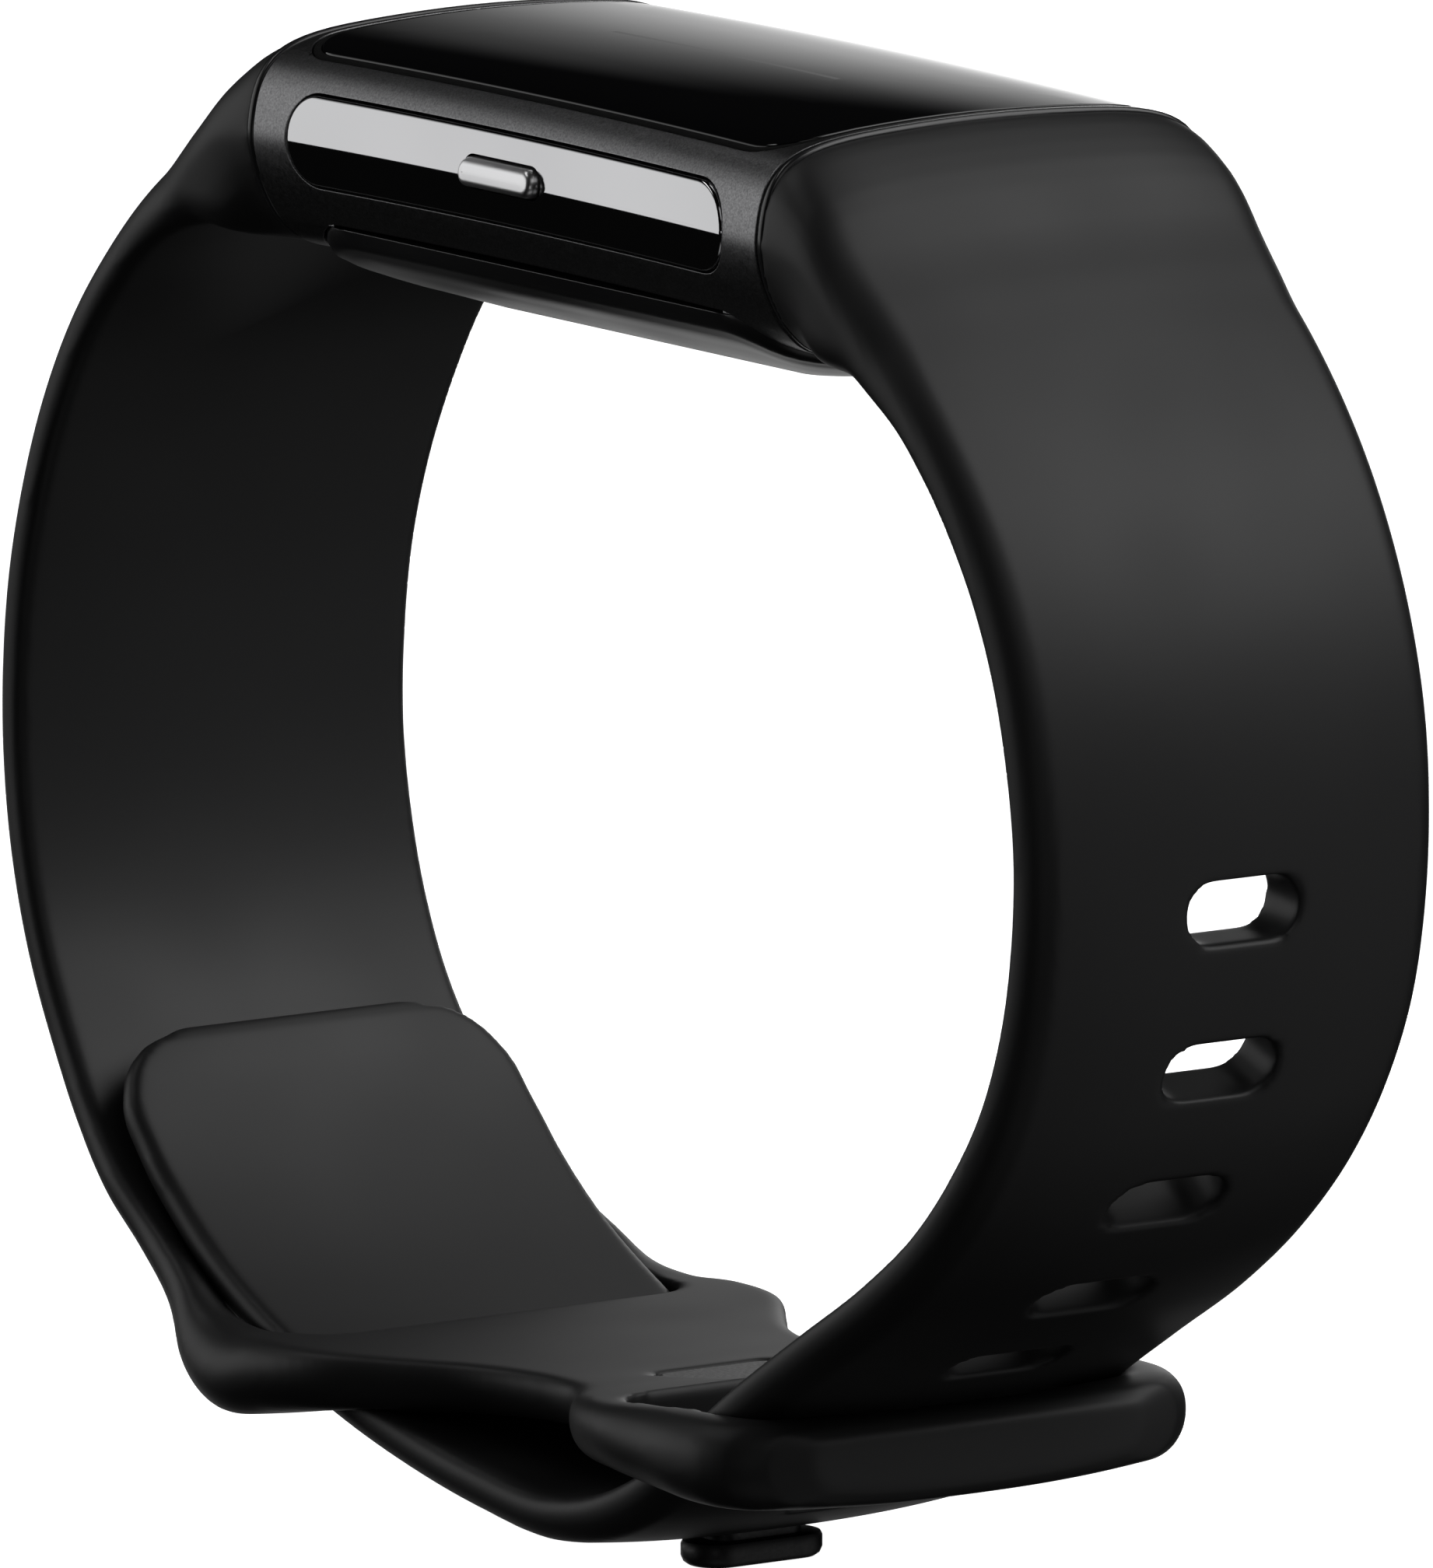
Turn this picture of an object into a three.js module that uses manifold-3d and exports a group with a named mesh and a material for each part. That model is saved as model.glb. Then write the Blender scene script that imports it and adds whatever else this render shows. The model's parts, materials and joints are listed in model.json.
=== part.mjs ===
// A wrist fitness tracker: a slim metal case with a curved glass, a gloss back cover with an optical
// window, and a two-piece silicone band that threads through itself and locks on a peg.
// Millimetres. X runs along the case, Y across the band with the side key at -Y, +Z is up.
// The origin is the middle of the wrist opening.
import * as THREE from 'three';
import { mergeVertices } from 'three/addons/utils/BufferGeometryUtils.js';
import Module from 'manifold-3d';

const wasm = await Module();
wasm.setup();

// ---- driving dimensions ----
const CASE_END = 18.25;          // the metal case ends here, on both sides
const CASE_HALF = 11.4;          // half of the case's width
const GLASS = { halfX: 17.5, halfY: 9.5, corner: 2.3, bottom: 32.0 };
const PANEL = { halfX: 15.8, low: 27.45, high: 31.3, corner: 1.9, inner: 9.75 };
const KEY = { halfX: 2.7, halfZ: 0.62, z: 29.7, face: 11.95, travel: 0.25 };
const COVER = { halfX: 17.6, halfY: 10.1, corner: 4.2, rim: 25.6, bottom: 22.1 };
const WINDOW = { halfX: 6.0, halfY: 3.0 };
const CAVITY = { halfX: 14.5, halfY: 8.9, low: 25.5, high: 31.3 };
const SEAM = { start: 18.35, end: 18.8, strap: 18.9 };
const PEG = { x: 1.9, y: 0, slotPitch: 6.85 };
const GAP = 0.1;                 // clearance between fixed neighbours
const BAND_GAP = 0.3;            // clearance between the two bands

// ---- looks ----
function look(color, roughness, metalness) {
  return new THREE.MeshStandardMaterial({ color, roughness, metalness });
}
const LOOKS = {
  silicone: look(0x1c1c1e, 0.6, 0),
  metal: look(0x3a3b3e, 0.45, 0.9),
  glass: look(0x050506, 0.05, 0),
  gloss: look(0x0a0a0c, 0.12, 0),
  key: look(0xc8c9cc, 0.2, 1),
  plastic: look(0x1a1a1c, 0.5, 0),
  rubber: look(0x111112, 0.8, 0),
  board: look(0x1d4a33, 0.5, 0),
  chip: look(0x222226, 0.4, 0),
  steel: look(0x9b9da1, 0.3, 1),
  gold: look(0xc9a050, 0.25, 1),
  battery: look(0x8d9196, 0.4, 0.6),
  flex: look(0x9a6a2a, 0.5, 0),
};

const tracker = new THREE.Group();

function add(name, geometry, lookName) {
  const mesh = new THREE.Mesh(geometry, LOOKS[lookName]);
  mesh.name = name;
  tracker.add(mesh);
}

// ---- solids ----
function solid(geometry) {
  const bare = geometry.index ? geometry.toNonIndexed() : geometry.clone();
  bare.deleteAttribute('normal');
  bare.deleteAttribute('uv');
  const merged = mergeVertices(bare, 1e-5);
  const vertProperties = new Float32Array(merged.attributes.position.array);
  const triVerts = new Uint32Array(merged.index.array);
  return new wasm.Manifold(new wasm.Mesh({ numProp: 3, vertProperties, triVerts }));
}

function geometryOf(body) {
  const mesh = body.getMesh();
  const geometry = new THREE.BufferGeometry();
  geometry.setAttribute('position', new THREE.BufferAttribute(mesh.vertProperties.slice(), 3));
  geometry.setIndex(Array.from(mesh.triVerts));
  return geometry;
}

function cut(body, ...tools) {
  return tools.reduce((left, tool) => left.subtract(tool), body);
}

function join(first, ...others) {
  return others.reduce((left, other) => left.add(other), first);
}

function block(x0, x1, y0, y1, z0, z1) {
  const geometry = new THREE.BoxGeometry(x1 - x0, y1 - y0, z1 - z0);
  geometry.translate((x0 + x1) / 2, (y0 + y1) / 2, (z0 + z1) / 2);
  return solid(geometry);
}

function roundedRect(halfX, halfY, corner) {
  const r = Math.min(corner, halfX - 0.001, halfY - 0.001);
  const shape = new THREE.Shape();
  shape.moveTo(halfX - r, -halfY);
  shape.absarc(halfX - r, -halfY + r, r, -Math.PI / 2, 0);
  shape.absarc(halfX - r, halfY - r, r, 0, Math.PI / 2);
  shape.absarc(-halfX + r, halfY - r, r, Math.PI / 2, Math.PI);
  shape.absarc(-halfX + r, -halfY + r, r, Math.PI, Math.PI * 1.5);
  shape.closePath();
  return shape;
}

// A rounded-rectangle prism standing along Z, centred at (x, y).
function prism(halfX, halfY, corner, z0, z1, x = 0, y = 0, segments = 4) {
  const options = { depth: z1 - z0, bevelEnabled: false, curveSegments: segments };
  const geometry = new THREE.ExtrudeGeometry(roundedRect(halfX, halfY, corner), options);
  geometry.translate(x, y, z0);
  return solid(geometry);
}

// The same prism lying along Y, with its outline in X and Z.
function sidePrism(halfX, halfZ, corner, y0, y1, x, z, segments = 4) {
  const options = { depth: y1 - y0, bevelEnabled: false, curveSegments: segments };
  const geometry = new THREE.ExtrudeGeometry(roundedRect(halfX, halfZ, corner), options);
  geometry.rotateX(Math.PI / 2);
  geometry.translate(x, y1, z);
  return solid(geometry);
}

function disc(radius, z0, z1, x, y, segments = 24) {
  const geometry = new THREE.CylinderGeometry(radius, radius, z1 - z0, segments);
  geometry.rotateX(Math.PI / 2);
  geometry.translate(x, y, (z0 + z1) / 2);
  return solid(geometry);
}

// ---- rings and lofts ----
// A closed skin over rings of points with the same count, with a flat fan at each end.
function loft(rings) {
  const count = rings[0].length;
  const points = rings.flat();
  const first = points.length;
  const centre = (ring) => ring.reduce((sum, p) => sum.add(p), new THREE.Vector3()).divideScalar(count);
  points.push(centre(rings[0]), centre(rings[rings.length - 1]));
  const index = [];
  for (let r = 0; r < rings.length - 1; r += 1) {
    for (let i = 0; i < count; i += 1) {
      const a = r * count + i;
      const b = r * count + (i + 1) % count;
      index.push(a, b, b + count, a, b + count, a + count);
    }
  }
  const last = (rings.length - 1) * count;
  for (let i = 0; i < count; i += 1) {
    const next = (i + 1) % count;
    index.push(first, next, i);
    index.push(first + 1, last + i, last + next);
  }
  const geometry = new THREE.BufferGeometry();
  geometry.setAttribute('position', new THREE.BufferAttribute(
    new Float32Array(points.flatMap((p) => [p.x, p.y, p.z])), 3));
  geometry.setIndex(index);
  if (signedVolume(points, index) < 0) {
    geometry.setIndex(index.toReversed());
  }
  return solid(geometry);
}

function signedVolume(points, index) {
  let sum = 0;
  for (let i = 0; i < index.length; i += 3) {
    const [a, b, c] = [points[index[i]], points[index[i + 1]], points[index[i + 2]]];
    sum += a.dot(b.clone().cross(c));
  }
  return sum / 6;
}

// ---- the case's cross-section ----
// Half of the outline, from the crown of the glass round the side to the middle of the bottom.
const CASE_HALF_OUTLINE = [
  [0, 33.7], [4.5, 33.57], [7.9, 33.25], [9.9, 32.6], [10.95, 31.5], [CASE_HALF, 29.9],
  [11.37, 28.5], [10.85, 26.9], [9.85, 25.35], [8.2, 24.3], [4.4, 23.75], [0, 23.65],
];
const CASE_MIDDLE = 28.68;       // the middle height of that section
const CASE_HEIGHT = 10.05;
const HALF_STEPS = 11;

function caseHalfOutline() {
  const mirrored = [
    ...CASE_HALF_OUTLINE.slice(1, 3).reverse().map(([y, z]) => [-y, z]),
    ...CASE_HALF_OUTLINE,
    ...CASE_HALF_OUTLINE.slice(-3, -1).reverse().map(([y, z]) => [-y, z]),
  ].map(([y, z]) => new THREE.Vector2(y, z));
  const curve = new THREE.SplineCurve(mirrored);
  const lead = 2 / (mirrored.length - 1);
  const span = (CASE_HALF_OUTLINE.length - 1) / (mirrored.length - 1);
  const points = [];
  for (let i = 0; i <= HALF_STEPS; i += 1) {
    points.push(curve.getPoint(lead + span * (i / HALF_STEPS)));
  }
  return points;
}

// The whole outline as [y, z] pairs: down the -Y side and back up the +Y side.
function mirrorHalf(half) {
  const down = half.map((p) => [-p.x, p.y]);
  const up = half.slice(1, -1).reverse().map((p) => [p.x, p.y]);
  return [...down, ...up];
}
const CASE_OUTLINE = mirrorHalf(caseHalfOutline());

function caseRing(x) {
  return CASE_OUTLINE.map(([y, z]) => new THREE.Vector3(x, y, z));
}

// ---- band stations ----
// Each station is [x, z, angle of the outward normal in degrees, thickness, half width]. The first
// one lies on the case seam, where the band has the case's own section.
const SLOTTED_STATIONS = [
  [18.9, 28.6, 90, 9.85, 11.4], [20.8, 28.0, 83, 8.3, 11.4], [22.4, 26.9, 71, 5.8, 11.3],
  [24.7, 25.75, 58, 3.9, 11.1], [27.1, 24.1, 49, 2.9, 10.9], [29.8, 21.4, 42, 2.6, 10.75],
  [32.4, 17.8, 31, 2.6, 10.6], [34.3, 13.9, 20, 2.6, 10.5], [35.45, 9.85, 11, 2.6, 10.45],
  [35.9, 5.8, 2, 2.6, 10.35], [35.7, 1.8, -7, 2.6, 10.3], [34.85, -2.2, -16, 2.6, 10.25],
  [33.15, -6.0, -27, 2.6, 10.15], [30.8, -9.3, -39, 2.6, 10.1], [27.95, -12.2, -48, 2.6, 10.0],
  [24.2, -15.0, -55, 2.6, 10.0], [19.35, -17.9, -59, 2.5, 10.0], [14.6, -20.8, -58, 2.4, 10.0],
  [10.6, -23.6, -56, 2.4, 10.0], [7.2, -25.8, -61, 2.4, 10.0], [4.2, -27.0, -74, 2.4, 10.0],
  [0.5, -27.6, -90, 2.4, 10.0], [-4.7, -27.1, -99, 2.4, 10.0], [-10.0, -26.1, -103, 2.4, 10.0],
  [-15.2, -24.7, -109, 2.4, 10.0], [-20.0, -22.8, -117, 2.4, 10.1], [-23.6, -20.8, -124, 2.3, 10.1],
  [-26.5, -18.6, -129, 2.2, 10.1], [-29.0, -16.2, -135, 2.1, 10.1], [-30.75, -14.15, -141, 2.0, 9.75],
  [-31.85, -12.6, -146, 1.8, 8.3], [-32.2, -12.0, -148, 1.5, 7.0], [-32.33, -11.75, -148, 1.1, 5.8],
];
const LOOP_STATIONS = [
  [-18.9, 28.6, 90, 9.85, 11.4], [-20.6, 28.0, 97, 8.4, 11.4], [-22.5, 27.1, 109, 6.0, 11.3],
  [-24.9, 26.2, 121, 3.9, 11.1], [-27.8, 24.5, 129, 2.9, 10.9], [-30.7, 21.95, 138, 2.6, 10.75],
  [-33.25, 19.1, 147, 2.6, 10.6], [-35.45, 15.6, 155, 2.6, 10.5], [-37.35, 11.4, 162, 2.6, 10.35],
  [-38.55, 7.3, 170, 2.6, 10.25], [-39.05, 3.5, 177, 2.6, 10.2], [-39.1, -0.4, 183, 2.6, 10.15],
  [-38.5, -4.55, 192, 2.6, 10.15], [-37.25, -8.6, 202, 2.6, 10.15], [-35.3, -12.4, 212, 2.6, 10.2],
  [-33.2, -15.2, 220, 2.5, 10.45], [-30.6, -17.7, 226, 2.5, 10.8], [-27.9, -19.7, 228, 2.6, 10.9],
  [-25.0, -21.6, 231, 3.0, 11.4], [-22.7, -23.35, 240, 3.8, 12.3], [-20.0, -24.15, 258, 4.1, 13.0],
  [-16.5, -23.85, 271, 3.6, 13.1], [-13.0, -23.6, 270, 3.1, 12.2], [-10.0, -23.5, 270, 2.8, 10.3],
  [-7.0, -23.45, 270, 2.7, 8.4], [-4.0, -23.4, 270, 2.6, 7.4], [-1.0, -23.4, 270, 2.6, 7.3],
  [1.6, -23.2, 270, 2.8, 8.9], [4.2, -23.05, 270, 3.2, 11.0], [7.5, -22.9, 270, 3.4, 12.2],
  [11.0, -22.85, 270, 3.9, 12.5], [14.0, -22.85, 270, 4.2, 12.6], [15.8, -22.85, 270, 4.2, 12.3],
  [17.1, -22.85, 270, 4.0, 11.5], [18.0, -22.85, 270, 3.4, 10.1], [18.4, -22.85, 270, 2.4, 8.4],
];
const LUG_STATIONS = 3;          // over these the case's section turns into the band's

// Half of a band's section: [across, along the normal], from the crown to the wrist side. The thin
// band has a tight edge on the wrist side; the thick rails and bars are rounder.
function bandHalfOutline(half, thick) {
  const outer = Math.min(thick * 0.56, 1.9);
  const inner = Math.min(thick * 0.24, 0.6) + THREE.MathUtils.smoothstep(thick, 2.8, 4.2);
  const top = thick / 2;
  const crown = 0.16 * Math.min(thick, 2.6);
  const points = [[0, top], [half * 0.5, top - crown / 3]];
  for (let i = 0; i <= 3; i += 1) {
    const angle = (Math.PI / 2) * (1 - i / 3);
    points.push([half - outer * (1 - Math.cos(angle)), top - crown - outer * (1 - Math.sin(angle))]);
  }
  for (let i = 0; i <= 2; i += 1) {
    const angle = -(Math.PI / 2) * (i / 2);
    points.push([half - inner * (1 - Math.cos(angle)), -top + inner * (1 + Math.sin(angle))]);
  }
  points.push([half * 0.6, -top], [half * 0.3, -top], [0, -top]);
  return points.map(([y, n]) => new THREE.Vector2(y, n));
}

// The ring of a station; grow makes the whole section larger, for clearance cuts.
function stationRing([x, z, angleDeg, thick, half], blend, grow) {
  const angle = THREE.MathUtils.degToRad(angleDeg);
  const normal = new THREE.Vector3(Math.cos(angle), 0, Math.sin(angle));
  const band = mirrorHalf(bandHalfOutline(half + grow, thick + 2 * grow));
  return band.map(([y, n], i) => {
    const [caseY, caseZ] = CASE_OUTLINE[i];
    const scale = thick / CASE_HEIGHT;
    const across = THREE.MathUtils.lerp(caseY, y, blend);
    const along = THREE.MathUtils.lerp((caseZ - CASE_MIDDLE) * scale, n, blend);
    return new THREE.Vector3(x, across, z).addScaledVector(normal, along);
  });
}

function bandSolid(stations, grow = 0) {
  const rings = stations.map((station, i) => {
    const lug = grow === 0 ? THREE.MathUtils.smoothstep(i / LUG_STATIONS, 0, 1) : 1;
    return stationRing(station, lug, grow);
  });
  return loft(rings);
}

// ---- the case ----
// Height of the case's belly at a distance y from its middle.
function bellyHeight(y) {
  const lower = CASE_OUTLINE.slice(0, HALF_STEPS + 1).map(([across, z]) => [-across, z]);
  for (let i = HALF_STEPS; i > 0; i -= 1) {
    const [y0, z0] = lower[i];
    const [y1, z1] = lower[i - 1];
    if (Math.abs(y) <= y1) {
      return THREE.MathUtils.mapLinear(Math.abs(y), y0, y1, z0, z1);
    }
  }
  return CASE_MIDDLE;
}

// The cover's rim follows the belly; each level is [share of the drop, inset in x, inset in y].
const COVER_LEVELS = [
  [0, 0, 0], [0.31, 0.55, 0.8], [0.56, 1.6, 2.3], [0.73, 2.6, 3.6], [0.89, 3.8, 5.2], [1, 5.0, 6.4],
];

function coverSolid() {
  const outline = (dx, dy) => roundedRect(COVER.halfX - dx, COVER.halfY - dy, COVER.corner - 0.35 * dy)
    .extractPoints(4).shape;
  const rims = outline(0, 0).map((p) => bellyHeight(p.y));
  const rings = COVER_LEVELS.map(([drop, dx, dy]) => outline(dx, dy).map((p, i) => new THREE.Vector3(
    p.x, p.y, THREE.MathUtils.lerp(rims[i], COVER.bottom, drop))));
  return loft([rings[0].map((p) => new THREE.Vector3(p.x, p.y, COVER.rim)), ...rings]);
}

function socket(side) {
  const [x0, x1] = side > 0 ? [15.1, 18.4] : [-18.4, -15.1];
  const [n0, n1] = side > 0 ? [15.6, 16.5] : [-16.5, -15.6];
  return join(block(x0, x1, -7.6, 7.6, 27.1, 30.8), block(n0, n1, -1.6, 1.6, 26.5, 27.3));
}

function caseFrame() {
  const outer = loft([caseRing(-CASE_END), caseRing(CASE_END)]);
  const panelHalfZ = (PANEL.high - PANEL.low) / 2;
  const panelZ = (PANEL.high + PANEL.low) / 2;
  const panelCut = (y0, y1) => sidePrism(
    PANEL.halfX + GAP, panelHalfZ + GAP, PANEL.corner, y0, y1, 0, panelZ);
  return cut(
    outer,
    prism(CAVITY.halfX, CAVITY.halfY, 2.5, CAVITY.low, CAVITY.high),
    prism(CAVITY.halfX, GLASS.halfY - 0.8, 2.4, CAVITY.high - 0.5, 34),
    prism(GLASS.halfX + 0.4, GLASS.halfY + 0.4, GLASS.corner + 0.3, GLASS.bottom - GAP, 34),
    prism(COVER.halfX + GAP, COVER.halfY + GAP, COVER.corner, 20, COVER.rim + GAP),
    panelCut(-12.5, -PANEL.inner + GAP),
    panelCut(PANEL.inner - GAP, 12.5),
    sidePrism(KEY.halfX + 0.2, KEY.halfZ + 0.2, 0.8, -PANEL.inner - 0.5, -8, 0, KEY.z),
    socket(1),
    socket(-1),
  );
}

function displayGlass() {
  const outer = loft([caseRing(-CASE_END), caseRing(CASE_END)]);
  return outer.intersect(prism(GLASS.halfX, GLASS.halfY, GLASS.corner, GLASS.bottom, 34));
}

function displayGasket() {
  const outer = loft([caseRing(-CASE_END), caseRing(CASE_END)]);
  const ring = cut(
    prism(GLASS.halfX + 0.32, GLASS.halfY + 0.32, GLASS.corner + 0.25, GLASS.bottom, 34),
    prism(GLASS.halfX + 0.08, GLASS.halfY + 0.08, GLASS.corner + 0.05, GLASS.bottom - 1, 35),
  );
  return cut(outer.intersect(ring), block(-20, 20, -12, 12, 33.4, 34));
}

function sidePanel(side) {
  const outer = loft([caseRing(-CASE_END), caseRing(CASE_END)]);
  const halfZ = (PANEL.high - PANEL.low) / 2;
  const z = (PANEL.high + PANEL.low) / 2;
  const [y0, y1] = side < 0 ? [-13, -PANEL.inner] : [PANEL.inner, 13];
  const panel = outer.intersect(sidePrism(PANEL.halfX, halfZ, PANEL.corner, y0, y1, 0, z));
  if (side > 0) {
    return panel;
  }
  return cut(panel, sidePrism(KEY.halfX + 0.12, KEY.halfZ + 0.12, 0.74, -13, -9, 0, KEY.z));
}

function sideKey() {
  const cap = sidePrism(KEY.halfX, KEY.halfZ, 0.6, -KEY.face + 0.2, -10.0, 0, KEY.z);
  const crown = sidePrism(KEY.halfX - 0.2, KEY.halfZ - 0.2, 0.42, -KEY.face, -KEY.face + 0.2, 0, KEY.z);
  const stem = sidePrism(KEY.halfX - 0.55, KEY.halfZ - 0.22, 0.38, -10.0, -8.6, 0, KEY.z);
  return join(cap, crown, stem);
}

function keySeal() {
  return cut(
    sidePrism(KEY.halfX + 0.1, KEY.halfZ + 0.1, 0.7, -9.55, -9.0, 0, KEY.z),
    sidePrism(KEY.halfX - 0.45, KEY.halfZ - 0.12, 0.45, -10, -8, 0, KEY.z),
  );
}

function backCover() {
  return cut(
    coverSolid(),
    prism(15.2, 7.2, 3.4, 23.9, 27),
    prism(WINDOW.halfX + GAP, WINDOW.halfY + GAP, 1.6, 20, 25),
    disc(0.75, 20, 25, 10.6, -1.4, 16),
    disc(0.75, 20, 25, 10.6, 1.4, 16),
  );
}

function buildCase() {
  add('case_frame', geometryOf(caseFrame()), 'metal');
  add('display_glass', geometryOf(displayGlass()), 'glass');
  add('display_gasket', geometryOf(displayGasket()), 'rubber');
  add('side_panel_key', geometryOf(sidePanel(-1)), 'gloss');
  add('side_panel_plain', geometryOf(sidePanel(1)), 'gloss');
  add('side_key', geometryOf(sideKey()), 'key');
  add('key_clip', geometryOf(block(-2.4, 2.4, -8.5, -8.25, 29.1, 30.3)), 'steel');
  add('key_seal', geometryOf(keySeal()), 'rubber');
  add('back_cover', geometryOf(backCover()), 'gloss');
  add('sensor_window', geometryOf(prism(WINDOW.halfX, WINDOW.halfY, 1.5, COVER.bottom, 23.2)), 'glass');
  for (const [name, y] of [['charge_pin_a', -1.4], ['charge_pin_b', 1.4]]) {
    add(name, geometryOf(disc(0.65, COVER.bottom, 24.4, 10.6, y, 16)), 'gold');
  }
  const gasket = cut(prism(14.3, 8.0, 3.3, 25.7, 26.0), prism(13.8, 7.5, 2.9, 25, 27));
  add('back_gasket', geometryOf(gasket), 'rubber');
}

// ---- inside the case ----
function buildInside() {
  add('display_panel', geometryOf(prism(13.4, 7.2, 1.2, 31.0, 31.65)), 'glass');
  add('display_flex', geometryOf(block(13.9, 14.1, -3, 3, 29.0, 31.5)), 'flex');
  const midframe = cut(
    prism(10.3, 8.4, 2.3, 27.9, 28.5, 3.4, 0),
    disc(0.5, 27, 29, -5.9, 5.6, 12),
    disc(0.5, 27, 29, 12.6, -5.6, 12),
  );
  add('midframe', geometryOf(midframe), 'plastic');
  const board = cut(
    block(-6.8, 13.6, -6.5, 6.5, 28.6, 29.2),
    disc(0.55, 28, 30, -5.9, 5.6, 12),
    disc(0.55, 28, 30, 12.6, -5.6, 12),
  );
  add('main_board', geometryOf(board), 'board');
  for (const [name, x, y] of [['board_screw_a', -5.9, 5.6], ['board_screw_b', 12.6, -5.6]]) {
    const screw = join(disc(0.42, 28.0, 29.4, x, y, 12), disc(0.75, 29.3, 29.65, x, y, 12));
    add(name, geometryOf(screw), 'steel');
  }
  add('shield_can', geometryOf(prism(5.6, 5.2, 0.5, 29.3, 30.5, 2.5, 0)), 'steel');
  add('radio_chip', geometryOf(block(9.2, 12.0, -2.0, 2.0, 29.3, 30.1)), 'chip');
  add('battery', geometryOf(prism(10.0, 6.6, 1.4, 25.0, 27.7, 3.6, 0)), 'battery');
  add('sensor_board', geometryOf(prism(7.4, 4.6, 0.8, 24.1, 24.6)), 'board');
  const optics = [['led_a', -3.6], ['photodiode_a', -1.3], ['photodiode_b', 1.3], ['led_b', 3.6]];
  for (const [name, x] of optics) {
    add(name, geometryOf(block(x - 0.8, x + 0.8, -0.8, 0.8, 23.5, 24.0)), 'chip');
  }
  add('key_bracket', geometryOf(block(-3, 3, -7.1, -6.7, 28.6, 30.6)), 'steel');
  add('key_switch', geometryOf(block(-1.6, 1.6, -7.85, -7.2, 29.2, 30.2)), 'plastic');
  add('antenna', geometryOf(block(-6, 12, 8.3, 8.55, 28.9, 30.8)), 'flex');
}

// A coin motor: the off-centre rotor turns on the shaft of the base plate, inside the can.
const MOTOR = { x: -10.3, y: 0, can: 3.3, rotor: 2.8, shaft: 0.45 };
function buildMotor() {
  const { x, y } = MOTOR;
  const can = cut(disc(MOTOR.can, 25.7, 28.2, x, y), disc(MOTOR.can - 0.25, 25.5, 27.95, x, y));
  add('motor_can', geometryOf(can), 'steel');
  const base = join(disc(MOTOR.can, 25.2, 25.5, x, y), disc(MOTOR.shaft, 25.4, 27.7, x, y, 12));
  add('motor_base', geometryOf(base), 'steel');
  const weight = disc(MOTOR.rotor, 26.0, 27.4, x, y).intersect(block(x - 4, x + 4, y - 0.9, y + 4, 25, 28));
  const rotor = cut(weight, disc(MOTOR.shaft + 0.08, 25, 28, x, y, 12));
  add('motor_rotor', geometryOf(rotor), 'gold');
}

// ---- band connectors, one set on each side of the case ----
function sideBlock(side, x0, x1, y0, y1, z0, z1) {
  return side > 0 ? block(x0, x1, y0, y1, z0, z1) : block(-x1, -x0, y0, y1, z0, z1);
}

function connectorSolid(side) {
  const flange = loft([caseRing(side * SEAM.start), caseRing(side * SEAM.end)]);
  return cut(
    join(
      flange,
      sideBlock(side, 15.3, SEAM.start + 0.1, -7.4, 7.4, 27.3, 30.6),
      sideBlock(side, SEAM.end - 0.1, 21.4, -8.0, 8.0, 25.6, 30.5),
    ),
    sideBlock(side, 15.0, 21.0, -1.5, 1.5, 27.0, 29.1),
    sideBlock(side, 19.2, 21.0, -1.5, 1.5, 25.0, 30.1),
  );
}

function latchHook(side) {
  return join(
    sideBlock(side, 15.7, 20.7, -1.2, 1.2, 27.45, 28.1),
    sideBlock(side, 15.7, 16.4, -1.2, 1.2, 26.75, 27.5),
    sideBlock(side, 19.5, 20.7, -1.2, 1.2, 25.5, 27.5),
  );
}

function releaseButton(side) {
  return join(
    sideBlock(side, 19.3, 21.0, -2.6, 2.6, 23.3, 24.75),
    sideBlock(side, 19.5, 20.7, -1.2, 1.2, 24.7, 25.4),
  );
}

// A bent leaf between the hook and the top of the connector's pocket.
function latchSpring(side) {
  const profile = [[-0.65, 30.0], [0, 28.3], [0.65, 30.0]];
  const shape = new THREE.Shape();
  shape.moveTo(profile[0][0], profile[0][1]);
  shape.lineTo(profile[1][0], profile[1][1] + 0.15);
  shape.lineTo(profile[2][0], profile[2][1]);
  shape.lineTo(profile[2][0] + 0.15, profile[2][1]);
  shape.lineTo(profile[1][0] + 0.12, profile[1][1]);
  shape.lineTo(profile[1][0] - 0.12, profile[1][1]);
  shape.lineTo(profile[0][0] - 0.15, profile[0][1]);
  shape.closePath();
  const geometry = new THREE.ExtrudeGeometry(shape, { depth: 2.0, bevelEnabled: false });
  geometry.rotateX(Math.PI / 2);
  geometry.translate(side * 20.1, 1.0, 0);
  return solid(geometry);
}

function buildConnectors() {
  for (const [label, side] of [['loop', -1], ['slotted', 1]]) {
    add(`${label}_connector`, geometryOf(connectorSolid(side)), 'gloss');
    add(`${label}_latch_hook`, geometryOf(latchHook(side)), 'steel');
    add(`${label}_release_button`, geometryOf(releaseButton(side)), 'plastic');
    add(`${label}_latch_spring`, geometryOf(latchSpring(side)), 'steel');
  }
}

// The room in a band's end for its connector and release button.
function connectorRoom(side) {
  return join(
    sideBlock(side, 18, 21.55, -8.15, 8.15, 25.45, 30.65),
    sideBlock(side, 19.15, 21.15, -2.75, 2.75, 21, 26),
  );
}

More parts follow.
